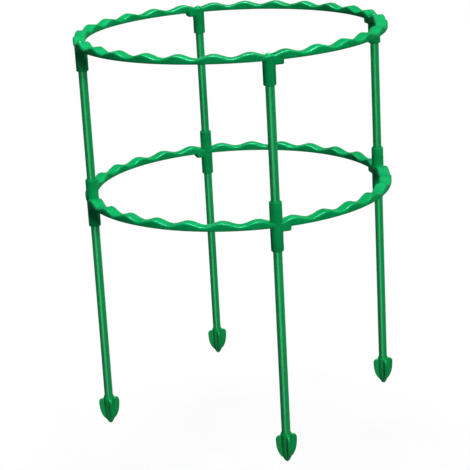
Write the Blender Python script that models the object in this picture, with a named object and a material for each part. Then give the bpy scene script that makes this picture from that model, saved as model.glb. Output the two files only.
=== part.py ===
"""Plant support cage: two wavy rings on four two-part stakes, with a finned spear foot under each stake.

Metres, +Z up. The origin is on the cage's vertical axis, level with the tips of the feet.
The stakes stand at the front (-Y), the right (+X), the back (+Y) and the left (-X).
"""

import math

import bmesh
import bpy
from mathutils import Matrix

MM = 0.001
# Room between pieces that touch, and how far a cutter runs past what it cuts
GAP = 0.3 * MM
CUT_REACH = 20.0 * MM
MERGE_DISTANCE = 0.001 * MM
# Edges sharper than this stay sharp under smooth shading
SHARP_ANGLE = math.radians(32.0)

# The four places, by the angle of their stake
PLACES = {"right": 0.0, "back": 90.0, "left": 180.0, "front": 270.0}
QUARTER = math.radians(90.0)

# Rings
STAKE_CIRCLE_RADIUS = 138.4 * MM
BAND_WIDTH = 11.2 * MM
BAND_TROUGH_HEIGHT = 4.0 * MM
BAND_CREST_HEIGHT = 7.5 * MM
BAND_EDGE = 0.7 * MM
WAVES_PER_ARC = 7
STEPS_PER_WAVE = 6
LOWER_RING_Z = 220.7 * MM
UPPER_RING_Z = 366.3 * MM

# Sleeves that hold the stakes
SLEEVE_RADIUS = 5.7 * MM
SLEEVE_TIP_RADIUS = 5.6 * MM
SLEEVE_CHAMFER = 1.0 * MM
LOWER_SLEEVE_DROP = 22.0 * MM
LOWER_SLEEVE_RISE = 22.8 * MM
UPPER_SLEEVE_DROP = 21.5 * MM
SLEEVE_SIDES = 24
SLEEVE_CLEARING = 5.0 * MM
SOCKET_LOW_END = -3.7 * MM
SOCKET_HIGH_END = 4.5 * MM
CAP_SOCKET_END = -3.2 * MM
CAP_HEIGHT = BAND_TROUGH_HEIGHT + 0.15 * MM
DOME_RADIUS = 3.45 * MM
DOME_HEIGHT = 2.0 * MM
DOME_STEPS = 3

# End block of an arc, and the T-shaped rib of the next sleeve that it slides onto
# The block's underside as (distance along the ring from the neighbour's axis, height under the band)
BLOCK_DROP = 4.0 * MM
BLOCK_UNDERSIDE = [(0.0, 4.0), (10.5, 4.0), (11.2, 3.7), (11.5, 3.0), (11.6, 0.0)]
RIB_WEB_WIDTH = 2.0 * MM
RIB_WEB_END = 7.5 * MM
RIB_HEAD_WIDTH = 4.8 * MM
RIB_HEAD_END = 9.1 * MM
RIB_TOP = 0.7 * MM
RIB_ROOT = 4.9 * MM

# Stakes: a steel tube in a plastic coat
COAT_RADIUS = 4.0 * MM
COAT_WALL = 0.6 * MM
COAT_END_CHAMFER = 0.3 * MM
CORE_RADIUS = COAT_RADIUS - COAT_WALL - GAP
CORE_WALL = 0.6 * MM
CORE_END_CHAMFER = 0.2 * MM
CORE_INSET = 0.5 * MM
STAKE_SIDES = 20

# Feet: height and radius of the turned core from the tip up, and of a fin's outer edge
FOOT_SIDES = 20
FOOT_SOCKET_DEPTH = 15.0 * MM
FOOT_NOSE = [(0.0, 1.0), (0.3, 1.5), (1.1, 2.1), (2.3, 2.85), (4.4, 3.95)]
FOOT_BARREL = [(10.8, 4.9), (25.2, 5.25), (26.4, 5.2), (27.3, 4.85), (27.8, 4.6)]
FIN_EDGE = [(4.5, 4.0), (5.2, 5.1), (6.6, 6.1), (8.6, 7.25), (11.1, 8.3), (14.7, 9.15), (18.7, 9.6),
            (21.7, 9.75), (24.0, 9.35), (25.4, 8.2), (25.8, 6.6), (25.5, 4.0)]
FIN_THICKNESS = 2.4 * MM
FIN_BEVEL = 0.5 * MM
FIN_BEVEL_ANGLE = math.radians(60.0)
FOOT_HEIGHT = FOOT_BARREL[-1][0] * MM
FOOT_SOCKET_Z = FOOT_HEIGHT - FOOT_SOCKET_DEPTH

SOCKET_RADIUS = COAT_RADIUS + GAP

# Finishes: base colour, roughness, metallic
FINISHES = {
    "ring_plastic": ((0.004, 0.224, 0.059), 0.38, 0.0),
    "foot_plastic": ((0.005, 0.150, 0.036), 0.42, 0.0),
    "stake_coat": ((0.010, 0.262, 0.078), 0.25, 0.0),
    "stake_steel": ((0.550, 0.560, 0.570), 0.35, 1.0),
}


def clear_scene():
    """Remove every object and mesh that the file holds."""
    for thing in list(bpy.data.objects):
        bpy.data.objects.remove(thing, do_unlink=True)
    for mesh in list(bpy.data.meshes):
        bpy.data.meshes.remove(mesh)


def make_material(name):
    """Return the named finish as a Principled material."""
    colour, roughness, metallic = FINISHES[name]
    material = bpy.data.materials.new(name)
    material.use_nodes = True
    shader = material.node_tree.nodes["Principled BSDF"]
    shader.inputs["Base Color"].default_value = (*colour, 1.0)
    shader.inputs["Roughness"].default_value = roughness
    shader.inputs["Metallic"].default_value = metallic
    material.diffuse_color = (*colour, 1.0)
    return material


def add_object(name, mesh):
    """Link a new object that shows the mesh."""
    thing = bpy.data.objects.new(name, mesh)
    bpy.context.collection.objects.link(thing)
    return thing


def object_from(bm, name):
    """Turn a bmesh into an object, with its faces pointing out."""
    bmesh.ops.recalc_face_normals(bm, faces=bm.faces)
    mesh = bpy.data.meshes.new(name)
    bm.to_mesh(mesh)
    bm.free()
    return add_object(name, mesh)


def combine(target, tool, operation):
    """Apply a Boolean of the tool to the target, and remove the tool."""
    modifier = target.modifiers.new("join", "BOOLEAN")
    modifier.object = tool
    modifier.operation = operation
    modifier.solver = "EXACT"
    bpy.context.view_layer.objects.active = target
    bpy.ops.object.modifier_apply(modifier=modifier.name)
    bpy.data.objects.remove(tool, do_unlink=True)


def smooth(mesh):
    """Shade the round faces smooth and keep the real edges sharp."""
    mesh.shade_smooth()
    mesh.set_sharp_from_angle(angle=SHARP_ANGLE)


def turned(name, profile, sides):
    """Spin a closed profile of (radius, height) points about the Z axis through the origin.

    A profile that starts and ends on the axis gives a solid body; any other gives a ring.
    """
    bm = bmesh.new()
    points = [bm.verts.new((radius, 0.0, height)) for radius, height in profile]
    edges = [bm.edges.new(pair) for pair in zip(points, points[1:])]
    if profile[0][0] > 0.0:
        edges.append(bm.edges.new((points[-1], points[0])))
    bmesh.ops.spin(bm, geom=points + edges, cent=(0, 0, 0), axis=(0, 0, 1), dvec=(0, 0, 0),
                   angle=2 * math.pi, steps=sides, use_merge=True)
    bmesh.ops.remove_doubles(bm, verts=bm.verts, dist=MERGE_DISTANCE)
    return object_from(bm, name)


def rod(name, radius, low, high, sides):
    """A plain solid cylinder on the Z axis."""
    return turned(name, [(0.0, low), (radius, low), (radius, high), (0.0, high)], sides)


def prism(name, outline, low, high):
    """Extrude a flat outline of (x, y) points from one height to another."""
    bm = bmesh.new()
    face = bm.faces.new([bm.verts.new((x, y, low)) for x, y in outline])
    grown = bmesh.ops.extrude_face_region(bm, geom=[face])
    moved = [item for item in grown["geom"] if isinstance(item, bmesh.types.BMVert)]
    bmesh.ops.translate(bm, verts=moved, vec=(0, 0, high - low))
    return object_from(bm, name)


def on_circle(radius, angle):
    """The point of the horizontal circle at an angle."""
    return radius * math.cos(angle), radius * math.sin(angle)


def swept_band(name):
    """Sweep the band's section round the arc, from its end block to its sleeve."""
    bm = bmesh.new()
    loops = []
    for angle, drop in band_stations():
        section = band_section(angle, drop)
        loops.append([bm.verts.new((*on_circle(radius, angle), height)) for radius, height in section])
    count = len(loops[0])
    for here, there in zip(loops, loops[1:]):
        for i in range(count):
            j = (i + 1) % count
            bm.faces.new((here[i], here[j], there[j], there[i]))
    bm.faces.new(loops[0])
    bm.faces.new(list(reversed(loops[-1])))
    return object_from(bm, name)


def wave_height(angle):
    """Height of the band's top over its flat bottom: a trough at each stake, seven crests between."""
    middle = (BAND_CREST_HEIGHT + BAND_TROUGH_HEIGHT) / 2
    swing = (BAND_CREST_HEIGHT - BAND_TROUGH_HEIGHT) / 2
    return middle - swing * math.cos(WAVES_PER_ARC * 4 * angle)


def band_section(angle, drop):
    """The band's section: an upright block with its four edges eased, and its bottom lowered by a drop."""
    inner = STAKE_CIRCLE_RADIUS - BAND_WIDTH / 2
    outer = STAKE_CIRCLE_RADIUS + BAND_WIDTH / 2
    top = wave_height(angle)
    return [(inner + BAND_EDGE, -drop), (outer - BAND_EDGE, -drop), (outer, BAND_EDGE - drop),
            (outer, top - BAND_EDGE), (outer - BAND_EDGE, top), (inner + BAND_EDGE, top),
            (inner, top - BAND_EDGE), (inner, BAND_EDGE - drop)]


def band_stations():
    """Where the band's sections stand, as (angle, drop) from the neighbour's stake round to this arc's own."""
    stations = [(distance * MM / STAKE_CIRCLE_RADIUS, drop * MM) for distance, drop in BLOCK_UNDERSIDE]
    block_end = stations[-1][0]
    steps = WAVES_PER_ARC * STEPS_PER_WAVE
    for step in range(1, steps + 1):
        angle = QUARTER * step / steps
        if angle > block_end:
            stations.append((angle, 0.0))
        elif angle < stations[1][0]:
            stations.append((angle, BLOCK_DROP))
    return [(angle - QUARTER, drop) for angle, drop in sorted(stations)]


def make_rib(name, slack, low, high):
    """The T-shaped rib beside a sleeve that stands on the origin, grown by a slack for the slot it runs in."""
    web = RIB_WEB_WIDTH / 2 + slack
    head = RIB_HEAD_WIDTH / 2 + slack
    near, far = RIB_WEB_END - slack, RIB_HEAD_END + slack
    outline = [(-web, RIB_ROOT), (web, RIB_ROOT), (web, near), (head, near), (head, far), (-head, far),
               (-head, near), (-web, near)]
    return prism(name, outline, low, high)


def move_to_stake(thing, angle):
    """Carry a piece made round the origin to the stake at an angle, turned with the ring."""
    place = Matrix.Rotation(angle, 4, "Z") @ Matrix.Translation((STAKE_CIRCLE_RADIUS, 0, 0))
    thing.data.transform(place)
    return thing


def lower_sleeve_profile():
    """Outline of a sleeve with a socket at each end and a web between them."""
    low, high = -LOWER_SLEEVE_DROP, LOWER_SLEEVE_RISE
    return [(0.0, SOCKET_LOW_END), (SOCKET_RADIUS, SOCKET_LOW_END), (SOCKET_RADIUS, low),
            (SLEEVE_TIP_RADIUS - SLEEVE_CHAMFER, low), (SLEEVE_TIP_RADIUS, low + SLEEVE_CHAMFER),
            (SLEEVE_RADIUS, 0.0), (SLEEVE_RADIUS, BAND_TROUGH_HEIGHT),
            (SLEEVE_TIP_RADIUS, high - SLEEVE_CHAMFER), (SLEEVE_TIP_RADIUS - SLEEVE_CHAMFER, high),
            (SOCKET_RADIUS, high), (SOCKET_RADIUS, SOCKET_HIGH_END), (0.0, SOCKET_HIGH_END)]


def upper_sleeve_profile():
    """Outline of a sleeve with one socket, closed by a flat cap with a low dome."""
    low = -UPPER_SLEEVE_DROP
    profile = [(0.0, CAP_SOCKET_END), (SOCKET_RADIUS, CAP_SOCKET_END), (SOCKET_RADIUS, low),
               (SLEEVE_TIP_RADIUS - SLEEVE_CHAMFER, low), (SLEEVE_TIP_RADIUS, low + SLEEVE_CHAMFER),
               (SLEEVE_RADIUS, 0.0), (SLEEVE_RADIUS, CAP_HEIGHT - BAND_EDGE),
               (SLEEVE_RADIUS - BAND_EDGE, CAP_HEIGHT)]
    ball = (DOME_RADIUS ** 2 + DOME_HEIGHT ** 2) / (2 * DOME_HEIGHT)
    for step in range(DOME_STEPS + 1):
        radius = DOME_RADIUS * (1 - step / DOME_STEPS)
        profile.append((radius, CAP_HEIGHT + DOME_HEIGHT - ball + math.sqrt(ball ** 2 - radius ** 2)))
    return profile


def make_arc(name, sleeve_profile):
    """One quarter arc: the band, its sleeve at angle 0 with a rib beyond it, and its end block at -90 degrees."""
    arc = swept_band(name)
    neighbour = rod("neighbour", SLEEVE_RADIUS + GAP, -CUT_REACH, CUT_REACH, SLEEVE_SIDES)
    combine(arc, move_to_stake(neighbour, -QUARTER), "DIFFERENCE")
    slot = make_rib("slot", GAP, -CUT_REACH, RIB_TOP + GAP)
    combine(arc, move_to_stake(slot, -QUARTER), "DIFFERENCE")
    clearing = rod("clearing", SLEEVE_CLEARING, -CUT_REACH, CUT_REACH, SLEEVE_SIDES)
    combine(arc, move_to_stake(clearing, 0.0), "DIFFERENCE")
    sleeve = turned("sleeve", sleeve_profile, SLEEVE_SIDES)
    combine(arc, move_to_stake(sleeve, 0.0), "UNION")
    rib = make_rib("rib", 0.0, -BLOCK_DROP, RIB_TOP)
    combine(arc, move_to_stake(rib, 0.0), "UNION")
    smooth(arc.data)
    return arc


def make_tube(name, outer, wall, length, chamfer):
    """A round tube standing on the origin, with its outer ends eased."""
    inner = outer - wall
    profile = [(inner, 0.0), (outer - chamfer, 0.0), (outer, chamfer), (outer, length - chamfer),
               (outer - chamfer, length), (inner, length)]
    tube = turned(name, profile, STAKE_SIDES)
    smooth(tube.data)
    return tube


def make_foot(name):
    """A spear foot standing on the origin: turned core, four fins and the socket for a stake."""
    outline = [(0.0, 0.0)] + [(radius * MM, height * MM) for height, radius in FOOT_NOSE + FOOT_BARREL]
    foot = turned(name, outline + [(0.0, FOOT_HEIGHT)], FOOT_SIDES)
    for side in range(2):
        edge = [(radius * MM, height * MM) for height, radius in FIN_EDGE]
        outline = edge + [(-radius, height) for radius, height in reversed(edge)]
        fins = prism("fins", outline, -FIN_THICKNESS / 2, FIN_THICKNESS / 2)
        fins.data.transform(Matrix.Rotation(side * QUARTER, 4, "Z") @ Matrix.Rotation(QUARTER, 4, "X"))
        bevel = fins.modifiers.new("soft_edges", "BEVEL")
        bevel.width = FIN_BEVEL
        bevel.segments = 1
        bevel.angle_limit = FIN_BEVEL_ANGLE
        bpy.context.view_layer.objects.active = fins
        bpy.ops.object.modifier_apply(modifier=bevel.name)
        combine(foot, fins, "UNION")
    socket = rod("socket", SOCKET_RADIUS, FOOT_SOCKET_Z, FOOT_HEIGHT + CUT_REACH, STAKE_SIDES)
    combine(foot, socket, "DIFFERENCE")
    smooth(foot.data)
    return foot


def add_group(name, location):
    """An empty that carries the pieces of one assembly."""
    group = add_object(name, None)
    group.location = location
    return group


def place_copy(mesh, name, parent, height=0.0, turn=0.0):
    """Put an object with a shared mesh under a group, at a height over it and turned about Z."""
    thing = add_object(name, mesh)
    thing.parent = parent
    thing.location = (0.0, 0.0, height)
    thing.rotation_euler = (0.0, 0.0, turn)


def take_mesh(template, finish):
    """Give the template's mesh its finish, remove the template and return the mesh."""
    mesh = template.data
    mesh.materials.clear()
    mesh.materials.append(finish)
    bpy.data.objects.remove(template, do_unlink=True)
    return mesh


def build_rings(finish):
    """Eight arcs, each named for the ring and for the two stakes that it joins."""
    order = list(PLACES)
    rings = (("lower", LOWER_RING_Z, lower_sleeve_profile()), ("upper", UPPER_RING_Z, upper_sleeve_profile()))
    for ring, height, sleeve_profile in rings:
        group = add_group(f"{ring}_ring", (0.0, 0.0, height))
        mesh = take_mesh(make_arc("arc_template", sleeve_profile), finish)
        for i, place in enumerate(order):
            name = f"{ring}_arc_{order[i - 1]}_{place}"
            place_copy(mesh, name, group, turn=math.radians(PLACES[place]))


def build_stakes(coat_finish, core_finish):
    """The coat and the steel core of the eight stakes."""
    spans = {
        "lower": (FOOT_SOCKET_Z + GAP, LOWER_RING_Z + SOCKET_LOW_END - GAP),
        "upper": (LOWER_RING_Z + SOCKET_HIGH_END + GAP, UPPER_RING_Z + CAP_SOCKET_END - GAP),
    }
    for level, (low, high) in spans.items():
        length = high - low
        coat = make_tube("coat_template", COAT_RADIUS, COAT_WALL, length, COAT_END_CHAMFER)
        core = make_tube("core_template", CORE_RADIUS, CORE_WALL, length - 2 * CORE_INSET, CORE_END_CHAMFER)
        coat_mesh, core_mesh = take_mesh(coat, coat_finish), take_mesh(core, core_finish)
        for place, angle in PLACES.items():
            x, y = on_circle(STAKE_CIRCLE_RADIUS, math.radians(angle))
            group = add_group(f"{level}_stake_{place}", (x, y, low))
            place_copy(coat_mesh, f"{level}_stake_coat_{place}", group)
            place_copy(core_mesh, f"{level}_stake_core_{place}", group, height=CORE_INSET)


def build_feet(finish):
    """Four feet, with their fins along X and Y."""
    mesh = take_mesh(make_foot("foot_template"), finish)
    for place, angle in PLACES.items():
        x, y = on_circle(STAKE_CIRCLE_RADIUS, math.radians(angle))
        group = add_group(f"spear_foot_{place}", (x, y, 0.0))
        place_copy(mesh, f"foot_{place}", group)


def main():
    """Build the whole cage."""
    clear_scene()
    finishes = {name: make_material(name) for name in FINISHES}
    build_rings(finishes["ring_plastic"])
    build_stakes(finishes["stake_coat"], finishes["stake_steel"])
    build_feet(finishes["foot_plastic"])


main()
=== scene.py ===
"""Looks of the plant support cage: two wavy rings, eight coated stakes and four spear feet.

Metres, +Z up. The cage stands on its feet, with its stakes at the front (-Y), the right (+X), the back (+Y)
and the left (-X).
"""

import logging
import math
from collections.abc import Callable, Iterator, Mapping
from contextlib import contextmanager
from dataclasses import dataclass
from enum import Enum

import bmesh
import bpy
from bpy.types import Material, Node, NodeSocket, NodeTree, Object
from mathutils import Matrix, Vector


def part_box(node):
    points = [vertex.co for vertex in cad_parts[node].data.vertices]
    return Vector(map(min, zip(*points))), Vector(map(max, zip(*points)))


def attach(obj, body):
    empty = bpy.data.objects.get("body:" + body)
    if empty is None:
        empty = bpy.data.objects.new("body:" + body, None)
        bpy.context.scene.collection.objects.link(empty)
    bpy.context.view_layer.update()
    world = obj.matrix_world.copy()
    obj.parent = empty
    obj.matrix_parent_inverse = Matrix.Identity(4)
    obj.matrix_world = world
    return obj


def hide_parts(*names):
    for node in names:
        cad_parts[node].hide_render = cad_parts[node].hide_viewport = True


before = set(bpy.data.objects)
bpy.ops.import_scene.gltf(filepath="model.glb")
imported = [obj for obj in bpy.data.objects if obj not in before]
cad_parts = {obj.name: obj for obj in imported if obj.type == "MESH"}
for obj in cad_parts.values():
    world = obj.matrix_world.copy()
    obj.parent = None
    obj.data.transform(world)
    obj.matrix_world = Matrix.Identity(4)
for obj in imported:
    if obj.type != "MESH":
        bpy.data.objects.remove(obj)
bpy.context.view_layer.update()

LOG = logging.getLogger("plant_support_cage")

MM = 0.001
HALF_TURN = math.radians(180.0)
QUARTER = math.radians(90.0)
# Distance from the cage's axis to a stake's axis
STAKE_CIRCLE = 138.4 * MM
# Room for a stake in its socket
SOCKET_RADIUS = 4.3 * MM
# Two points nearer than this are one point
TOUCHING = 0.005 * MM
# A face or an edge is square to an axis when its direction has at least this share along it
SQUARE_ON = 0.9
# How far a cutter runs past what it cuts
CUT_REACH = 30.0 * MM
# Two radii nearer than this belong to the same round edge
SAME_EDGE = 0.1 * MM
# Edges sharper than this stay crisp under smooth shading
CRISP_ANGLE = math.radians(32.0)
# Nearly all values of a noise texture lie between these two
NOISE_LOW, NOISE_HIGH = 0.3, 0.7

Test = Callable[[Vector, Vector], bool]


class Place(Enum):
    """The four places of a stake, by its angle round the ring in degrees."""

    RIGHT = 0
    BACK = 90
    LEFT = 180
    FRONT = 270

    @property
    def word(self) -> str:
        """The place's name as the pieces use it."""
        return self.name.lower()

    @property
    def turn(self) -> float:
        """The place's angle round the ring in radians."""
        return math.radians(self.value)

    @property
    def spot(self) -> Vector:
        """Where the stake's axis meets the ground."""
        return Vector((STAKE_CIRCLE * math.cos(self.turn), STAKE_CIRCLE * math.sin(self.turn), 0.0))

    @property
    def before(self) -> "Place":
        """The next place clockwise, where the arc that ends here begins."""
        return Place((self.value - 90) % 360)


class Level(Enum):
    """The two storeys of the cage, by the height of their ring's underside in millimetres."""

    LOWER = 220.7
    UPPER = 366.3

    @property
    def word(self) -> str:
        """The level's name as the pieces use it."""
        return self.name.lower()

    @property
    def height(self) -> float:
        """Height of the ring's underside in metres."""
        return self.value * MM


class Element(Enum):
    """What a selection in an open mesh is made of."""

    POINT = "VERT"
    EDGE = "EDGE"
    FACE = "FACE"


def activate(thing: Object) -> None:
    """Select one object alone and make it the active one.

    Args:
        thing: The object.
    """
    bpy.ops.object.select_all(action="DESELECT")
    thing.select_set(True)
    bpy.context.view_layer.objects.active = thing


@contextmanager
def editing(thing: Object) -> Iterator[None]:
    """Open an object's mesh for editing, and close it again at the end.

    Args:
        thing: The object.
    """
    activate(thing)
    bpy.ops.object.mode_set(mode="EDIT")
    try:
        yield
    finally:
        bpy.ops.object.mode_set(mode="OBJECT")


def pick(kind: Element, test: Test) -> int:
    """Select what passes a test in the open mesh, and nothing else.

    Args:
        kind: Points, edges or faces.
        test: Takes an element's middle and its normal, or an edge's direction, and says if it is wanted.

    Returns:
        How many elements are selected.
    """
    bpy.ops.mesh.select_mode(type=kind.value)
    bpy.ops.mesh.select_all(action="DESELECT")
    mesh = bpy.context.edit_object.data
    bm = bmesh.from_edit_mesh(mesh)
    if kind is Element.POINT:
        found = [v for v in bm.verts if test(v.co, v.normal)]
    elif kind is Element.EDGE:
        ends = [(e, e.verts[0].co, e.verts[1].co) for e in bm.edges]
        found = [e for e, a, b in ends if test((a + b) / 2, (b - a).normalized())]
    else:
        found = [f for f in bm.faces if test(f.calc_center_median(), f.normal)]
    for item in found:
        item.select_set(True)
    bm.select_flush_mode()
    bmesh.update_edit_mesh(mesh)
    return len(found)


def pick_all() -> None:
    """Select the whole of the open mesh."""
    bpy.ops.mesh.select_all(action="SELECT")


def shift(x: float, y: float, z: float) -> None:
    """Move the selection."""
    bpy.ops.transform.translate(value=(x, y, z))


def scale(x: float, y: float, z: float,
          centre: Vector | tuple[float, float, float] = (0.0, 0.0, 0.0)) -> None:
    """Scale the selection about a point."""
    bpy.ops.transform.resize(value=(x, y, z), center_override=tuple(centre))


def turn(angle: float) -> None:
    """Turn the selection anticlockwise about the vertical axis. Without a window the sign is reversed."""
    bpy.ops.transform.rotate(value=-angle, orient_axis="Z", center_override=(0.0, 0.0, 0.0))


def pull(x: float, y: float, z: float) -> None:
    """Extrude the selected faces along a vector."""
    bpy.ops.mesh.extrude_region_move(TRANSFORM_OT_translate={"value": (x, y, z)})


def mend() -> None:
    """Merge doubled points in the open mesh and turn every face outwards."""
    pick_all()
    bpy.ops.mesh.remove_doubles(threshold=TOUCHING)
    bpy.ops.mesh.normals_make_consistent(inside=False)


def apply_modifier(thing: Object, kind: str, **settings: object) -> None:
    """Add a modifier to an object and apply it.

    Args:
        thing: The object.
        kind: The modifier's type.
        settings: Values of its properties.
    """
    modifier = thing.modifiers.new(kind.lower(), kind)
    for name, value in settings.items():
        setattr(modifier, name, value)
    activate(thing)
    bpy.ops.object.modifier_apply(modifier=modifier.name)


def combine(target: Object, tool: Object, operation: str) -> None:
    """Unite or cut an object with a tool, throw the tool away and mend the seam.

    Args:
        target: The object that stays.
        tool: What is added to it or cut out of it.
        operation: UNION or DIFFERENCE.
    """
    apply_modifier(target, "BOOLEAN", object=tool, operation=operation, solver="EXACT")
    bpy.data.objects.remove(tool, do_unlink=True)
    with editing(target):
        mend()


def settle(thing: Object) -> None:
    """Put an object's place, turn and scale into its mesh."""
    activate(thing)
    bpy.ops.object.transform_apply(location=True, rotation=True, scale=True)


def add_block(size: tuple[float, float, float], centre: tuple[float, float, float]) -> Object:
    """Start from a cube, brought to a size and place.

    Args:
        size: Its extent along X, Y and Z.
        centre: Its middle.

    Returns:
        The block, with its place in its mesh.
    """
    bpy.ops.mesh.primitive_cube_add(size=1.0)
    block = bpy.context.object
    with editing(block):
        pick_all()
        scale(*size)
        shift(*centre)
    return block


def add_round(radius: float, low: float, high: float, sides: int, centre: Vector | None = None) -> Object:
    """Start from an upright cylinder.

    Args:
        radius: Its radius.
        low: Height of its bottom.
        high: Height of its top.
        sides: How many sides it has.
        centre: Where its axis stands, or the origin.

    Returns:
        The cylinder, with its place in its mesh.
    """
    bpy.ops.mesh.primitive_cylinder_add(vertices=sides, radius=radius, depth=high - low)
    body = bpy.context.object
    with editing(body):
        pick_all()
        foot = centre or Vector((0.0, 0.0, 0.0))
        shift(foot.x, foot.y, (low + high) / 2)
    return body


def radius_of(point: Vector) -> float:
    """Distance of a point from the vertical axis through the origin."""
    return math.hypot(point.x, point.y)


def at_height(level: float) -> Test:
    """A test for what lies at a height."""
    return lambda point, _: abs(point.z - level) < TOUCHING


def copy_of(template: Object, name: str, place: Matrix) -> Object:
    """Make one of several like pieces.

    Args:
        template: The piece that was modelled once.
        name: Name of the copy.
        place: Where the copy goes.

    Returns:
        A copy with its own mesh, with its place in the mesh.
    """
    activate(template)
    bpy.ops.object.duplicate()
    piece = bpy.context.object
    piece.name = name
    piece.data.name = name
    piece.matrix_world = place
    settle(piece)
    return piece


def linear(code: str) -> tuple[float, float, float, float]:
    """Turn an sRGB hex colour into linear red, green, blue and alpha."""
    parts = [int(code[i:i + 2], 16) / 255 for i in (0, 2, 4)]
    return (*(c / 12.92 if c <= 0.04045 else ((c + 0.055) / 1.055) ** 2.4 for c in parts), 1.0)


def add_node(tree: NodeTree, kind: str, settings: Mapping[str, object] | None = None,
             inputs: Mapping[str | int, object] | None = None) -> Node:
    """Add a node to a tree.

    Args:
        tree: The tree that gets it.
        kind: The node's type.
        settings: Values of its properties.
        inputs: For each input, a value to set or a socket to link.

    Returns:
        The node.
    """
    node = tree.nodes.new(kind)
    for name, value in (settings or {}).items():
        setattr(node, name, value)
    for name, value in (inputs or {}).items():
        if isinstance(value, NodeSocket):
            tree.links.new(value, node.inputs[name])
        else:
            node.inputs[name].default_value = value
    return node


def set_ramp(node: Node, stops: list[tuple[float, str]]) -> None:
    """Give a colour ramp its stops.

    Args:
        node: The colour ramp.
        stops: For each stop, its position and its sRGB hex colour.
    """
    ramp = node.color_ramp
    while len(ramp.elements) < len(stops):
        ramp.elements.new(0.5)
    for element, (position, code) in zip(ramp.elements, stops):
        element.position = position
        element.color = linear(code)


@dataclass(frozen=True)
class Finish:
    """What every finish has: a name, a plain colour, how rough it is and how strongly it bends light."""

    name: str
    colour: str
    roughness: float
    ior: float = 1.5
    shine: float = 0.5

    def start(self) -> tuple[Material, NodeTree, Node, NodeSocket]:
        """Begin the material.

        Returns:
            The material, its node tree, its Principled shader and its Object coordinates.
        """
        material = bpy.data.materials.new(self.name)
        material.use_nodes = True
        tree = material.node_tree
        shader = tree.nodes["Principled BSDF"]
        shader.inputs["Base Color"].default_value = linear(self.colour)
        shader.inputs["Roughness"].default_value = self.roughness
        shader.inputs["IOR"].default_value = self.ior
        shader.inputs["Specular IOR Level"].default_value = self.shine
        material.diffuse_color = linear(self.colour)
        place = add_node(tree, "ShaderNodeTexCoord").outputs["Object"]
        return material, tree, shader, place


@dataclass(frozen=True)
class MouldedPolypropylene(Finish):
    """Polypropylene, injection moulded in an eroded tool.

    To the eye: one strong colour with faint clouds where the melt met the tool cold, a satin surface whose
    fine grain breaks up the highlights, and broad shallow dips where thick walls shrank.
    """

    deep: str = "000000"
    pale: str = "FFFFFF"
    gloss_tint: str = "FFFFFF"
    # Size of the clouds, of the tool's grain and of the dips. Real grain is about 0.1 mm, too fine to show,
    # so it is drawn at 0.5 mm
    cloud_mm: float = 16.0
    cloud_stops: tuple[float, float, float] = (0.32, 0.5, 0.68)
    grain_mm: float = 0.5
    dip_mm: float = 7.0
    grain_depth_mm: float = 0.010
    dip_depth_mm: float = 0.05
    # How far the grain takes the roughness down and up
    satin: tuple[float, float] = (0.05, 0.07)
    # How much smoother the faces are that look up, which the polished half of the tool made. It starts where
    # the height of a face's normal is the first value, and is whole at the second
    polish: float = 0.0
    polish_from: float = 0.15
    polish_full: float = 0.55

    def make(self) -> Material:
        """Build the material.

        Returns:
            The material.
        """
        material, tree, shader, place = self.start()
        clouds = add_node(tree, "ShaderNodeTexNoise", inputs={
            "Vector": place, "Scale": 1 / (self.cloud_mm * MM), "Detail": 3.0, "Roughness": 0.55})
        colours = add_node(tree, "ShaderNodeValToRGB", inputs={"Fac": clouds.outputs["Fac"]})
        set_ramp(colours, list(zip(self.cloud_stops, (self.deep, self.colour, self.pale))))
        grain = add_node(tree, "ShaderNodeTexNoise", inputs={
            "Vector": place, "Scale": 1 / (self.grain_mm * MM), "Detail": 2.0, "Roughness": 0.6})
        dips = add_node(tree, "ShaderNodeTexNoise", inputs={
            "Vector": place, "Scale": 1 / (self.dip_mm * MM), "Detail": 1.0})
        satin = add_node(tree, "ShaderNodeMapRange", inputs={
            "Value": grain.outputs["Fac"], "From Min": NOISE_LOW, "From Max": NOISE_HIGH,
            "To Min": self.roughness - self.satin[0], "To Max": self.roughness + self.satin[1]})
        broad = add_node(tree, "ShaderNodeBump", inputs={
            "Height": dips.outputs["Fac"], "Strength": 1.0, "Distance": self.dip_depth_mm * MM})
        fine = add_node(tree, "ShaderNodeBump", inputs={
            "Height": grain.outputs["Fac"], "Strength": 1.0, "Distance": self.grain_depth_mm * MM,
            "Normal": broad.outputs["Normal"]})
        shader.inputs["Specular Tint"].default_value = linear(self.gloss_tint)
        tree.links.new(colours.outputs["Color"], shader.inputs["Base Color"])
        tree.links.new(self._polish(tree, satin.outputs["Result"]), shader.inputs["Roughness"])
        tree.links.new(fine.outputs["Normal"], shader.inputs["Normal"])
        return material

    def _polish(self, tree: NodeTree, roughness: NodeSocket) -> NodeSocket:
        """Make the faces that look up smoother.

        Args:
            tree: The material's node tree.
            roughness: The roughness of the plain surface.

        Returns:
            The roughness with the polish in it.
        """
        facing = add_node(tree, "ShaderNodeSeparateXYZ", inputs={
            0: add_node(tree, "ShaderNodeTexCoord").outputs["Normal"]})
        smoother = add_node(tree, "ShaderNodeMapRange", inputs={
            "Value": facing.outputs["Z"], "From Min": self.polish_from, "From Max": self.polish_full,
            "To Min": 0.0, "To Max": self.polish})
        return add_node(tree, "ShaderNodeMath", {"operation": "SUBTRACT"}, {
            0: roughness, 1: smoother.outputs["Result"]}).outputs["Value"]


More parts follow.
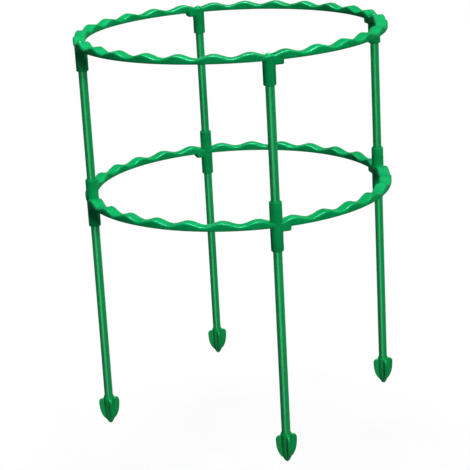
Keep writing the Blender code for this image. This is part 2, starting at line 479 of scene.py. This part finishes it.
@dataclass(frozen=True)
class ExtrudedPolyethyleneCoat(Finish):
    """Polyethylene, drawn over a steel tube through a round die.

    To the eye: a glossier skin than the mouldings, with fine lines and faint bands of colour along its
    length from the die, and a slight unevenness where it set.
    """

    deep: str = "000000"
    pale: str = "FFFFFF"
    gloss_tint: str = "FFFFFF"
    # Width of the die lines round the stake, drawn about four times too coarse so that they show, and how
    # many times longer than wide they are
    line_mm: float = 0.7
    stretch: float = 90.0
    line_depth_mm: float = 0.006
    sag_mm: float = 14.0
    sag_depth_mm: float = 0.03
    # How far the lines take the roughness down and up
    sheen: tuple[float, float] = (0.03, 0.06)

    def make(self) -> Material:
        """Build the material.

        Returns:
            The material.
        """
        material, tree, shader, place = self.start()
        drawn = add_node(tree, "ShaderNodeMapping", inputs={
            "Vector": place, "Scale": (1.0, 1.0, 1 / self.stretch)})
        lines = add_node(tree, "ShaderNodeTexNoise", inputs={
            "Vector": drawn.outputs["Vector"], "Scale": 1 / (self.line_mm * MM), "Detail": 2.0,
            "Roughness": 0.6})
        colours = add_node(tree, "ShaderNodeValToRGB", inputs={"Fac": lines.outputs["Fac"]})
        set_ramp(colours, [(NOISE_LOW, self.deep), (0.5, self.colour), (NOISE_HIGH, self.pale)])
        sags = add_node(tree, "ShaderNodeTexNoise", inputs={
            "Vector": place, "Scale": 1 / (self.sag_mm * MM), "Detail": 1.0})
        shine = add_node(tree, "ShaderNodeMapRange", inputs={
            "Value": lines.outputs["Fac"], "From Min": NOISE_LOW, "From Max": NOISE_HIGH,
            "To Min": self.roughness - self.sheen[0], "To Max": self.roughness + self.sheen[1]})
        broad = add_node(tree, "ShaderNodeBump", inputs={
            "Height": sags.outputs["Fac"], "Strength": 1.0, "Distance": self.sag_depth_mm * MM})
        fine = add_node(tree, "ShaderNodeBump", inputs={
            "Height": lines.outputs["Fac"], "Strength": 1.0, "Distance": self.line_depth_mm * MM,
            "Normal": broad.outputs["Normal"]})
        shader.inputs["Specular Tint"].default_value = linear(self.gloss_tint)
        tree.links.new(colours.outputs["Color"], shader.inputs["Base Color"])
        tree.links.new(shine.outputs["Result"], shader.inputs["Roughness"])
        tree.links.new(fine.outputs["Normal"], shader.inputs["Normal"])
        return material


@dataclass(frozen=True)
class DrawnSteelTube(Finish):
    """Steel strip, rolled to a thin tube and drawn bright.

    To the eye: a grey metal with fine bright and dull lines along its length and a few darker spots of
    oxide.
    """

    dull: str = "6F7276"
    line_mm: float = 0.5
    stretch: float = 60.0
    spot_mm: float = 2.5
    # How strongly the spots show beside the lines, between what strengths the two together lie, and from
    # which strength to which the metal goes dull
    spot_share: float = 0.5
    mark_range: tuple[float, float] = (0.5, 1.0)
    dull_stops: tuple[float, float] = (0.6, 0.9)
    # How far the marks take the roughness down and up
    bright: tuple[float, float] = (0.06, 0.12)

    def make(self) -> Material:
        """Build the material.

        Returns:
            The material.
        """
        material, tree, shader, place = self.start()
        shader.inputs["Metallic"].default_value = 1.0
        drawn = add_node(tree, "ShaderNodeMapping", inputs={
            "Vector": place, "Scale": (1.0, 1.0, 1 / self.stretch)})
        lines = add_node(tree, "ShaderNodeTexNoise", inputs={
            "Vector": drawn.outputs["Vector"], "Scale": 1 / (self.line_mm * MM), "Detail": 3.0})
        spots = add_node(tree, "ShaderNodeTexNoise", inputs={
            "Vector": place, "Scale": 1 / (self.spot_mm * MM), "Detail": 2.0})
        both = add_node(tree, "ShaderNodeMath", {"operation": "MULTIPLY_ADD"}, {
            0: spots.outputs["Fac"], 1: self.spot_share, 2: lines.outputs["Fac"]})
        colours = add_node(tree, "ShaderNodeValToRGB", inputs={"Fac": both.outputs["Value"]})
        set_ramp(colours, list(zip(self.dull_stops, (self.colour, self.dull))))
        shine = add_node(tree, "ShaderNodeMapRange", inputs={
            "Value": both.outputs["Value"], "From Min": self.mark_range[0], "From Max": self.mark_range[1],
            "To Min": self.roughness - self.bright[0], "To Max": self.roughness + self.bright[1]})
        tree.links.new(colours.outputs["Color"], shader.inputs["Base Color"])
        tree.links.new(shine.outputs["Result"], shader.inputs["Roughness"])
        return material


RING_PLASTIC = MouldedPolypropylene(
    "moulded_polypropylene_leaf_green", colour="02BE67", deep="02B05D", pale="05C871", gloss_tint="60FFE4",
    roughness=0.75, ior=1.49, shine=0.5, polish=0.52)
FOOT_PLASTIC = MouldedPolypropylene(
    "moulded_polypropylene_deep_green", colour="0ABA62", deep="07AC58", pale="10C46C", gloss_tint="90FFD8",
    roughness=0.40, ior=1.49, shine=0.3)
COAT_PLASTIC = ExtrudedPolyethyleneCoat(
    "extruded_polyethylene_green", colour="08CE74", deep="05C66C", pale="0DD67C", gloss_tint="85FFB8",
    roughness=0.22, ior=1.51, shine=1.0)
TUBE_STEEL = DrawnSteelTube("drawn_steel_bright", colour="B9BCBF", roughness=0.32)


def dress(piece: Object, material: Material) -> None:
    """Give a piece one material and crisp or smooth edges by their angle.

    Args:
        piece: The piece.
        material: Its material.
    """
    piece.data.materials.clear()
    piece.data.materials.append(material)
    activate(piece)
    bpy.ops.object.shade_smooth_by_angle(angle=CRISP_ANGLE)


@dataclass
class Rib:
    """The T-shaped rib beside a sleeve, and the slot of the next arc that slides over it."""

    # Widths of the web and of the head, and how far from the sleeve's axis each ends and the web starts
    web_width: float = 2.0 * MM
    web_end: float = 7.5 * MM
    head_width: float = 4.8 * MM
    head_end: float = 9.1 * MM
    root: float = 4.9 * MM

    def build(self, slack: float, low: float, high: float) -> Object:
        """Model the rib along +Y from a sleeve at the origin.

        Args:
            slack: How much it is grown, for the slot.
            low: Height of its bottom.
            high: Height of its top.

        Returns:
            The rib.
        """
        near, far = self.web_end - slack, self.head_end + slack
        web = self.web_width / 2 + slack
        size = (self.head_width + 2 * slack, far - near, high - low)
        rib = add_block(size, (0.0, (near + far) / 2, (low + high) / 2))
        with editing(rib):
            for side in (-web, web):
                pick_all()
                bpy.ops.mesh.bisect(plane_co=(side, 0.0, 0.0), plane_no=(1.0, 0.0, 0.0))
            pick(Element.FACE, lambda point, normal: normal.y < -SQUARE_ON and abs(point.x) < web)
            pull(0.0, self.root - near, 0.0)
            mend()
        return rib


@dataclass
class Sleeve:
    """The round sleeve that takes a stake's end, or two ends on the lower ring."""

    level: Level
    radius: float = 5.7 * MM
    # The mouths are drawn in to this radius and rounded outside, and the rims of their sockets are eased
    tip_radius: float = 5.6 * MM
    tip_round: float = 0.9 * MM
    tip_steps: int = 4
    rim_ease: float = 0.15 * MM
    rim_steps: int = 2
    # How far the sleeve reaches under and over the ring's underside, on the lower and the upper ring
    lower_drop: float = 22.0 * MM
    lower_rise: float = 22.8 * MM
    upper_drop: float = 21.5 * MM
    # The open sleeve is straight from the ring's underside up to this height
    waist: float = 4.0 * MM
    # Heights where the sockets end: the open sleeve's two, and the capped one's
    low_socket_end: float = -3.7 * MM
    high_socket_end: float = 4.5 * MM
    cap_socket_end: float = -3.2 * MM
    # The flat cap and the button dome on it
    cap_height: float = 4.15 * MM
    cap_round: float = 0.6 * MM
    cap_steps: int = 4
    dome_radius: float = 3.45 * MM
    dome_height: float = 2.0 * MM
    dome_steps: int = 6
    sides: int = 48

    @property
    def capped(self) -> bool:
        """Whether the sleeve is closed on top."""
        return self.level is Level.UPPER

    @property
    def low(self) -> float:
        """Height of the sleeve's bottom over the ring's underside."""
        return -self.upper_drop if self.capped else -self.lower_drop

    @property
    def high(self) -> float:
        """Height of the sleeve's top over the ring's underside."""
        return self.cap_height if self.capped else self.lower_rise

    def build(self) -> Object:
        """Model the sleeve round the origin.

        Returns:
            The sleeve.
        """
        sleeve = add_round(self.radius, self.low, self.high, self.sides)
        with editing(sleeve):
            for height in (0.0,) if self.capped else (0.0, self.waist):
                pick_all()
                bpy.ops.mesh.bisect(plane_co=(0.0, 0.0, height), plane_no=(0.0, 0.0, 1.0))
            self._bore_socket(self.low, self.cap_socket_end if self.capped else self.low_socket_end)
            if self.capped:
                self._close_top()
            else:
                self._bore_socket(self.high, self.high_socket_end)
            mend()
        return sleeve

    def _bore_socket(self, mouth: float, end: float) -> None:
        """Narrow one end of the sleeve, sink the socket into it and round its rims.

        Args:
            mouth: Height of the socket's open end.
            end: Height of the socket's closed end.
        """
        pick(Element.POINT, at_height(mouth))
        taper = self.tip_radius / self.radius
        scale(taper, taper, 1.0)
        pick(Element.FACE, lambda point, normal: abs(point.z - mouth) < TOUCHING and
             abs(normal.z) > SQUARE_ON)
        bpy.ops.mesh.inset(thickness=self.tip_radius - SOCKET_RADIUS)
        pull(0.0, 0.0, end - mouth)
        self._round_rim(mouth, self.tip_radius, self.tip_round, self.tip_steps)
        self._round_rim(mouth, SOCKET_RADIUS, self.rim_ease, self.rim_steps)

    def _round_rim(self, height: float, radius: float, width: float, segments: int) -> None:
        """Bevel the round edge at a height and radius.

        Args:
            height: Height of the edge.
            radius: Its radius.
            width: How much of each side the bevel takes.
            segments: How many faces the bevel has.
        """
        pick(Element.EDGE, lambda point, _: abs(point.z - height) < TOUCHING and
             abs(radius_of(point) - radius) < SAME_EDGE)
        bpy.ops.mesh.bevel(offset=width, segments=segments, profile=0.5, affect="EDGES")

    def _close_top(self) -> None:
        """Round the flat cap's edge and raise the button dome on it."""
        self._round_rim(self.cap_height, self.radius, self.cap_round, self.cap_steps)
        pick(Element.FACE, lambda point, normal: abs(point.z - self.cap_height) < TOUCHING and
             normal.z > SQUARE_ON)
        bpy.ops.mesh.inset(thickness=self.radius - self.cap_round - self.dome_radius)
        ball = (self.dome_radius ** 2 + self.dome_height ** 2) / (2 * self.dome_height)
        here, height = self.dome_radius, 0.0
        for step in range(1, self.dome_steps + 1):
            there = self.dome_radius * math.cos(QUARTER * step / self.dome_steps)
            rise = self.dome_height - ball + math.sqrt(ball ** 2 - there ** 2)
            pull(0.0, 0.0, rise - height)
            if step < self.dome_steps:
                scale(there / here, there / here, 1.0)
            here, height = there, rise
        bpy.ops.mesh.merge(type="CENTER")


@dataclass
class Arc:
    """A quarter of a ring in one moulding, made round the origin with its sleeve at angle 0."""

    level: Level
    # Width of the band, its height at a trough and at a crest, and how far its edges are rounded
    width: float = 11.2 * MM
    trough: float = 4.0 * MM
    crest: float = 7.5 * MM
    edge: float = 1.7 * MM
    edge_steps: int = 6
    waves: int = 7
    wave_steps: int = 14
    # Play between this arc and the next
    gap: float = 0.3 * MM
    # Radius of the hole in the band that the arc's own sleeve fills
    clearing: float = 5.0 * MM
    cutter_sides: int = 64
    # How far the rib reaches up from the band's underside. It reaches down as far as the end block does
    rib_top: float = 0.7 * MM
    # The end block's underside: how far along the ring, and how far under the band, in millimetres
    underside: tuple[tuple[float, float], ...] = (
        (10.4, 4.0), (10.84, 3.91), (11.21, 3.66), (11.46, 3.29), (11.55, 2.85), (11.6, 0.6), (11.7, 0.25),
        (11.92, 0.07), (12.2, 0.0))

    @property
    def wave(self) -> float:
        """The angle that one wave takes."""
        return QUARTER / self.waves

    def height_at(self, angle: float) -> float:
        """Height of the band's top at an angle: a trough at each stake and seven crests between."""
        middle, swing = (self.crest + self.trough) / 2, (self.crest - self.trough) / 2
        return middle - swing * math.cos(HALF_TURN * 2 * angle / self.wave)

    def build(self) -> Object:
        """Model the arc from its end block at -90 degrees to its sleeve at angle 0.

        Returns:
            The arc, with the ring's underside at height 0.
        """
        arc = self._one_wave()
        self._string_waves(arc)
        self._lower_block(arc)
        sleeve = Sleeve(self.level)
        rib = Rib()
        neighbour = Vector((0.0, -STAKE_CIRCLE, 0.0))
        notch = add_round(sleeve.radius + self.gap, -CUT_REACH, CUT_REACH, self.cutter_sides, neighbour)
        combine(arc, notch, "DIFFERENCE")
        slot = rib.build(self.gap, -CUT_REACH, self.rib_top + self.gap)
        combine(arc, self._beside(slot, -QUARTER), "DIFFERENCE")
        own = Vector((STAKE_CIRCLE, 0.0, 0.0))
        combine(arc, add_round(self.clearing, -CUT_REACH, CUT_REACH, sleeve.sides, own), "DIFFERENCE")
        combine(arc, self._beside(sleeve.build(), 0.0), "UNION")
        block_drop = self.underside[0][1] * MM
        combine(arc, self._beside(rib.build(0.0, -block_drop, self.rib_top), 0.0), "UNION")
        return arc

    def _one_wave(self) -> Object:
        """Model one wave of the band as an open tube, from -90 degrees on.

        Returns:
            The wave.
        """
        middle = Vector((0.0, -STAKE_CIRCLE, self.trough / 2))
        bpy.ops.mesh.primitive_plane_add(size=1.0, location=middle, rotation=(0.0, QUARTER, 0.0))
        band = bpy.context.object
        settle(band)
        with editing(band):
            pick_all()
            scale(1.0, self.width, self.trough, middle)
            bpy.ops.mesh.bevel(offset=self.edge, segments=self.edge_steps, affect="VERTICES")
            pick_all()
            bpy.ops.mesh.spin(steps=self.wave_steps, angle=-self.wave, center=(0.0, 0.0, 0.0),
                              axis=(0.0, 0.0, 1.0))
            pick(Element.FACE, lambda point, _: abs(point.z - middle.z) < self.edge and
                 abs(radius_of(point) - STAKE_CIRCLE) < self.edge)
            bpy.ops.mesh.delete(type="FACE")
            for step in range(1, self.wave_steps):
                angle = step * self.wave / self.wave_steps
                pick(Element.POINT, lambda point, _: point.z > middle.z and
                     abs(math.atan2(point.y, point.x) + QUARTER - angle) < TOUCHING / STAKE_CIRCLE)
                shift(0.0, 0.0, self.height_at(angle) - self.trough)
        return band

    def _string_waves(self, band: Object) -> None:
        """Copy the first wave round the quarter, join the copies and close the two ends.

        Args:
            band: The wave, which becomes the whole band.
        """
        with editing(band):
            pick_all()
            for _ in range(1, self.waves):
                bpy.ops.mesh.duplicate()
                turn(self.wave)
            pick_all()
            bpy.ops.mesh.remove_doubles(threshold=TOUCHING)
            bpy.ops.mesh.select_mode(type="EDGE")
            bpy.ops.mesh.select_all(action="DESELECT")
            bpy.ops.mesh.select_non_manifold()
            bpy.ops.mesh.fill_holes(sides=0)
            mend()

    def _lower_block(self, band: Object) -> None:
        """Draw the band's underside down at its first end, which makes the thick end block.

        Args:
            band: The whole band.
        """
        with editing(band):
            for along, _ in self.underside:
                angle = along * MM / STAKE_CIRCLE - QUARTER
                pick_all()
                bpy.ops.mesh.bisect(plane_co=(0.0, 0.0, 0.0),
                                    plane_no=(-math.sin(angle), math.cos(angle), 0.0))
            near = TOUCHING / STAKE_CIRCLE
            start = self.underside[0][0] * MM / STAKE_CIRCLE
            for along, drop in self.underside:
                angle = along * MM / STAKE_CIRCLE

                def wanted(point: Vector, _: Vector) -> bool:
                    """Whether a point of the band's underside belongs to this step of the block."""
                    here = math.atan2(point.y, point.x) + QUARTER
                    return point.z < self.edge + TOUCHING and (
                        here < start + near if angle == start else abs(here - angle) < near)

                if drop and pick(Element.POINT, wanted):
                    shift(0.0, 0.0, -drop * MM)
            mend()

    def _beside(self, thing: Object, angle: float) -> Object:
        """Carry a part made round the origin to a stake's place, turned with the ring.

        Args:
            thing: The part.
            angle: The place's angle round the ring.

        Returns:
            The same part.
        """
        thing.matrix_world = Matrix.Rotation(angle, 4, "Z") @ Matrix.Translation((STAKE_CIRCLE, 0.0, 0.0))
        settle(thing)
        return thing


@dataclass
class Ring:
    """A wavy ring of four like arcs."""

    level: Level
    plastic: Material

    def build(self) -> list[Object]:
        """Model one arc, copy it to the four places and give each copy its finish.

        Returns:
            The four arcs.
        """
        template = Arc(self.level).build()
        arcs = []
        for place in Place:
            spot = Matrix.Translation((0.0, 0.0, self.level.height)) @ Matrix.Rotation(place.turn, 4, "Z")
            ends = f"{place.before.word}_{place.word}"
            arc = copy_of(template, f"{self.level.word}_quarter_{ends}", spot)
            dress(arc, self.plastic)
            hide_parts(f"{self.level.word}_arc_{ends}")
            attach(arc, f"{self.level.word}_ring")
            arcs.append(arc)
        bpy.data.objects.remove(template, do_unlink=True)
        return arcs


@dataclass
class Stake:
    """The plastic coat of a stake, and the steel tube in it."""

    level: Level
    coat: Material
    steel: Material
    radius: float = 4.0 * MM
    wall: float = 0.6 * MM
    end_round: float = 0.3 * MM
    end_steps: int = 3
    sides: int = 48

    def build(self) -> list[Object]:
        """Model one coat, copy it to the four places and finish the coats and their tubes.

        Returns:
            The four coats.
        """
        low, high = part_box(f"{self.level.word}_stake_coat_{Place.RIGHT.word}")
        template = self._tube(low.z, high.z)
        coats = []
        for place in Place:
            coat = copy_of(template, f"{self.level.word}_coat_{place.word}", Matrix.Translation(place.spot))
            dress(coat, self.coat)
            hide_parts(f"{self.level.word}_stake_coat_{place.word}")
            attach(coat, self._body(place))
            coats.append(coat)
            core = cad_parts[f"{self.level.word}_stake_core_{place.word}"]
            core.data.materials.clear()
            core.data.materials.append(self.steel)
        bpy.data.objects.remove(template, do_unlink=True)
        return coats

    def _body(self, place: Place) -> str:
        """Name of the CAD body that a stake moves with."""
        return "upper_stakes" if self.level is Level.UPPER else f"lower_stake_{place.word}"

    def _tube(self, low: float, high: float) -> Object:
        """Model the coat round the origin.

        Args:
            low: Height of its lower end.
            high: Height of its upper end.

        Returns:
            A tube that is open at both ends.
        """
        tube = add_round(self.radius, low, high, self.sides)
        with editing(tube):
            pick(Element.FACE, lambda _, normal: abs(normal.z) > SQUARE_ON)
            bpy.ops.mesh.inset(thickness=self.wall)
            bpy.ops.mesh.delete(type="ONLY_FACE")
            inner = self.radius - self.wall / 2
            pick(Element.EDGE, lambda point, way: radius_of(point) < inner and abs(way.z) < SQUARE_ON and
                 abs(way.x * point.x + way.y * point.y) < TOUCHING)
            bpy.ops.mesh.bridge_edge_loops()
            pick(Element.EDGE, lambda point, way: radius_of(point) > inner and abs(way.z) < SQUARE_ON)
            bpy.ops.mesh.bevel(offset=self.end_round, segments=self.end_steps, affect="EDGES")
            mend()
        return tube


@dataclass
class SpearFoot:
    """A foot: a turned collar and nose with four fins and a socket for the stake."""

    plastic: Material
    sides: int = 48
    # Height and radius of the turned core from the tip up, and of a fin's outer edge, in millimetres
    profile: tuple[tuple[float, float], ...] = (
        (0.0, 1.0), (0.1, 1.25), (0.3, 1.5), (1.1, 2.1), (2.3, 2.85), (3.4, 3.43), (4.4, 3.95), (7.4, 4.55),
        (10.8, 4.9), (25.2, 5.25), (25.9, 5.24), (26.4, 5.18), (26.8, 5.05), (27.3, 4.85), (27.6, 4.72),
        (27.8, 4.55))
    fin_edge: tuple[tuple[float, float], ...] = (
        (4.5, 4.0), (5.2, 5.1), (6.6, 6.1), (8.6, 7.25), (11.1, 8.3), (14.7, 9.15), (18.7, 9.6),
        (21.7, 9.75), (23.1, 9.6), (24.0, 9.3), (24.8, 8.8), (25.4, 8.1), (25.7, 7.3), (25.8, 6.6))
    fin_thickness: float = 2.4 * MM
    fin_round: float = 0.6 * MM
    fin_steps: int = 3
    # A fin's edges are rounded where its faces meet more sharply than this
    fin_angle: float = math.radians(60.0)
    socket_depth: float = 15.0 * MM
    rim_ease: float = 0.15 * MM

    def build(self) -> list[Object]:
        """Model one foot, copy it to the four places and give each copy its finish.

        Returns:
            The four feet.
        """
        template = self._core()
        for quarter in range(2):
            combine(template, self._fin_pair(quarter * QUARTER), "UNION")
        top = self.profile[-1][0] * MM
        socket = add_round(SOCKET_RADIUS, top - self.socket_depth, top + CUT_REACH, self.sides)
        combine(template, socket, "DIFFERENCE")
        feet = []
        for place in Place:
            foot = copy_of(template, f"spear_foot_{place.word}", Matrix.Translation(place.spot))
            dress(foot, self.plastic)
            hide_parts(f"foot_{place.word}")
            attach(foot, f"spear_foot_{place.word}")
            feet.append(foot)
        bpy.data.objects.remove(template, do_unlink=True)
        return feet

    def _core(self) -> Object:
        """Draw the turned core up from its tip, a step at a time.

        Returns:
            The core.
        """
        tip_radius = self.profile[0][1] * MM
        bpy.ops.mesh.primitive_circle_add(vertices=self.sides, radius=tip_radius, fill_type="NGON")
        core = bpy.context.object
        with editing(core):
            pick_all()
            for (low, here), (high, there) in zip(self.profile, self.profile[1:]):
                pull(0.0, 0.0, (high - low) * MM)
                scale(there / here, there / here, 1.0)
            mend()
        return core

    def _fin_pair(self, angle: float) -> Object:
        """Model two opposite fins as one plate through the core.

        Args:
            angle: The angle that the plate is turned by.

        Returns:
            The plate with its rims rounded.
        """
        (first, start), *rest = self.fin_edge
        bpy.ops.mesh.primitive_plane_add(size=1.0, rotation=(QUARTER, 0.0, 0.0))
        plate = bpy.context.object
        settle(plate)
        with editing(plate):
            pick_all()
            scale(2 * start * MM, 1.0, (rest[0][0] - first) * MM)
            shift(0.0, 0.0, (first + rest[0][0]) / 2 * MM)
            pick(Element.EDGE, lambda point, _: abs(point.z - rest[0][0] * MM) < TOUCHING)
            scale(rest[0][1] / start, 1.0, 1.0)
            for (low, here), (high, there) in zip(rest, rest[1:]):
                rise = (0.0, 0.0, (high - low) * MM)
                bpy.ops.mesh.extrude_edges_move(TRANSFORM_OT_translate={"value": rise})
                scale(there / here, 1.0, 1.0)
            low, high = first * MM + TOUCHING, rest[-1][0] * MM - TOUCHING
            pick(Element.EDGE, lambda point, _: abs(point.x) < TOUCHING and low < point.z < high)
            bpy.ops.mesh.dissolve_edges(use_verts=False)
        apply_modifier(plate, "SOLIDIFY", thickness=self.fin_thickness, offset=0.0)
        apply_modifier(plate, "BEVEL", width=self.fin_round, segments=self.fin_steps, limit_method="ANGLE",
                       angle_limit=self.fin_angle)
        plate.rotation_euler = (0.0, 0.0, angle)
        settle(plate)
        return plate


@dataclass(frozen=True)
class PaleFloor(Finish):
    """Matt white paper, which shows as white background and keeps the cage's shadow."""

    # How much of what the camera sees is plain white, and the grey that the paper throws back as light
    glow: float = 0.75
    bounce: str = "3A3A3A"
    # Fibres to the metre, and how far they take the roughness down and up
    fibres: float = 900.0
    fibre_spread: float = 0.05

    def make(self) -> Material:
        """Build the material.

        Returns:
            The material.
        """
        material, tree, shader, place = self.start()
        fibres = add_node(tree, "ShaderNodeTexNoise", inputs={
            "Vector": place, "Scale": self.fibres, "Detail": 2.0})
        paper = add_node(tree, "ShaderNodeMapRange", inputs={
            "Value": fibres.outputs["Fac"],
            "To Min": self.roughness - self.fibre_spread, "To Max": self.roughness + self.fibre_spread})
        tree.links.new(paper.outputs["Result"], shader.inputs["Roughness"])
        seen = seen_share(tree)
        tone = add_node(tree, "ShaderNodeMix", {"data_type": "RGBA"}, {
            0: seen, 6: linear(self.bounce), 7: linear(self.colour)})
        tree.links.new(tone.outputs[2], shader.inputs["Base Color"])
        white = add_node(tree, "ShaderNodeEmission", inputs={"Color": linear("FFFFFF"), "Strength": 1.0})
        share = add_node(tree, "ShaderNodeMath", {"operation": "MULTIPLY"}, {0: seen, 1: self.glow})
        mixed = add_node(tree, "ShaderNodeMixShader", inputs={
            0: share.outputs["Value"], 1: shader.outputs["BSDF"], 2: white.outputs["Emission"]})
        tree.links.new(mixed.outputs["Shader"], tree.nodes["Material Output"].inputs["Surface"])
        return material


def seen_share(tree: NodeTree, mirrored: float = 0.0) -> NodeSocket:
    """Add nodes that say how much of its plain white a background shows to each kind of ray.

    Args:
        tree: The tree that gets them.
        mirrored: The share that gloss shows.

    Returns:
        1 where the camera sees the background, itself or through glass, the share in gloss, and else 0.
    """
    path = add_node(tree, "ShaderNodeLightPath")
    shiny = add_node(tree, "ShaderNodeMath", {"operation": "MULTIPLY"}, {
        0: path.outputs["Is Glossy Ray"], 1: mirrored})
    seen = add_node(tree, "ShaderNodeMath", {"operation": "MAXIMUM"}, {
        0: path.outputs["Is Camera Ray"], 1: shiny.outputs["Value"]})
    clear = add_node(tree, "ShaderNodeMath", {"operation": "MAXIMUM"}, {
        0: seen.outputs["Value"], 1: path.outputs["Is Transmission Ray"]})
    return clear.outputs["Value"]


@dataclass(frozen=True)
class SoftLight:
    """A large far light, round and soft-edged. Angles are in degrees."""

    name: str
    # Where it stands: degrees to the right of the cage's front, and above the floor
    bearing: float
    elevation: float
    # How wide it looks from the cage
    spread: float
    # How bright a white card that faces it would be
    level: float
    # Its own tint: the light from above is a touch cool, the light from the front a touch warm
    colour: str = "FFFFFF"
    # Whether it lights matt surfaces, and whether gloss mirrors it
    diffuse: bool = True
    gloss: bool = True

    def build(self) -> None:
        """Add the light, as a sun, whose energy is pi where a white card comes out white."""
        data = bpy.data.lights.new(self.name, "SUN")
        data.energy = self.level * math.pi
        data.color = linear(self.colour)[:3]
        data.angle = math.radians(self.spread)
        lamp = bpy.data.objects.new(self.name, data)
        bpy.context.scene.collection.objects.link(lamp)
        lamp.rotation_euler = (math.radians(90.0 - self.elevation), 0.0, math.radians(self.bearing))
        lamp.visible_camera = False
        lamp.visible_diffuse = self.diffuse
        lamp.visible_glossy = self.gloss


@dataclass
class Studio:
    """The pale floor, the white sweep behind it and the soft lights."""

    # Level of the even light from all round
    ambient: float = 0.02
    floor_size: float = 14.0
    # The floor lies this far under the tips, so that a foot or stake that is pulled off stays in sight
    floor_drop: float = 50.0 * MM
    # Degrees over the horizon where the white sweep behind the cage ends, and where it has faded out
    sweep_top: float = 8.0
    sweep_fade: float = 13.0
    # How much of the sweep's white gloss shows
    mirrored: float = 0.18
    # Broad light from above, a low front light that throws the ring's shadow on the left sleeves, a fill for
    # the back, and two pale cards that only gloss mirrors: one for the ring's tops, one for the stakes
    lights: tuple[SoftLight, ...] = (
        SoftLight("overhead_light", bearing=167.0, elevation=84.0, spread=38.0, level=0.96, colour="F8F8FF"),
        SoftLight("front_light", bearing=11.0, elevation=20.0, spread=12.0, level=0.35, colour="FFFFED"),
        SoftLight("back_fill", bearing=135.0, elevation=22.0, spread=80.0, level=0.30, gloss=False),
        SoftLight("overhead_reflector", bearing=167.0, elevation=84.0, spread=38.0, level=1.07,
                  colour="F8F8FF", diffuse=False),
        SoftLight("stake_reflector", bearing=-23.0, elevation=-18.0, spread=46.0, level=0.345,
                  diffuse=False),
    )

    def build(self) -> None:
        """Lay the floor and set up the light."""
        self._floor()
        self._surroundings()
        for light in self.lights:
            light.build()

    def _floor(self) -> None:
        """Lay the floor under the cage."""
        bpy.ops.mesh.primitive_plane_add(size=self.floor_size, location=(0.0, 0.0, -self.floor_drop))
        floor = bpy.context.object
        floor.name = "floor"
        paper = PaleFloor("matt_white_paper", colour="F2F2F2", roughness=0.9, shine=0.0)
        floor.data.materials.append(paper.make())
        floor.visible_glossy = False
        floor.visible_shadow = False

    def _surroundings(self) -> None:
        """Make the sweep white to look at, and everything round the cage a dim even light."""
        world = bpy.data.worlds.new("white_studio")
        bpy.context.scene.world = world
        world.use_nodes = True
        tree = world.node_tree
        way = add_node(tree, "ShaderNodeSeparateXYZ", inputs={
            0: add_node(tree, "ShaderNodeTexCoord").outputs["Generated"]})
        top, end = (math.sin(math.radians(angle)) for angle in (self.sweep_top, self.sweep_fade))
        sweep = add_node(tree, "ShaderNodeMapRange", inputs={
            "Value": way.outputs["Z"], "From Min": top, "From Max": end,
            "To Min": 1.0, "To Max": self.ambient})
        level = add_node(tree, "ShaderNodeMix", {"data_type": "FLOAT"}, {
            0: seen_share(tree, self.mirrored), 2: self.ambient, 3: sweep.outputs["Result"]})
        background = tree.nodes["Background"]
        background.inputs["Color"].default_value = linear("FFFFFF")
        tree.links.new(level.outputs[0], background.inputs["Strength"])


@dataclass
class PhotoCamera:
    """The camera, at the photograph's viewing angle. Angles are in degrees."""

    place: tuple[float, float, float] = (-0.3105, -1.3588, 0.6128)
    yaw: float = 12.716
    pitch: float = 16.129
    roll: float = -3.098
    lens_mm: float = 117.48
    sensor_mm: float = 36.0
    # The photograph was straightened, and this small lens shift does a part of that
    shift_up: float = -0.08
    # Nothing farther than this is drawn
    reach: float = 100.0

    def build(self) -> None:
        """Add the camera and make it the scene's."""
        data = bpy.data.cameras.new("photo_camera")
        data.sensor_width = self.sensor_mm
        data.lens = self.lens_mm
        data.shift_y = self.shift_up
        data.clip_end = self.reach
        camera = bpy.data.objects.new("photo_camera", data)
        bpy.context.scene.collection.objects.link(camera)
        aim = Matrix.Rotation(-math.radians(self.yaw), 4, "Z")
        tilt = Matrix.Rotation(math.radians(90.0 - self.pitch), 4, "X")
        lean = Matrix.Rotation(math.radians(self.roll), 4, "Z")
        camera.matrix_world = Matrix.Translation(self.place) @ aim @ tilt @ lean
        bpy.context.scene.camera = camera


def report(piece: Object) -> None:
    """Log a finished piece with its size and its number of faces."""
    size = [round(s / MM, 1) for s in piece.dimensions]
    LOG.info("%s: %s mm, %d faces", piece.name, size, len(piece.data.polygons))


def main() -> None:
    """Build the camera, the studio and every piece of the cage, and report the pieces."""
    logging.basicConfig(level=logging.INFO, format="%(message)s")
    bpy.context.scene.view_settings.view_transform = "Standard"
    bpy.ops.object.select_all(action="DESELECT")
    PhotoCamera().build()
    Studio().build()
    ring_plastic = RING_PLASTIC.make()
    coat_plastic = COAT_PLASTIC.make()
    tube_steel = TUBE_STEEL.make()
    pieces: list[Object] = []
    for level in Level:
        pieces += Ring(level, ring_plastic).build()
        pieces += Stake(level, coat_plastic, tube_steel).build()
    pieces += SpearFoot(FOOT_PLASTIC.make()).build()
    for piece in pieces:
        report(piece)


if __name__ == "__main__":
    main()
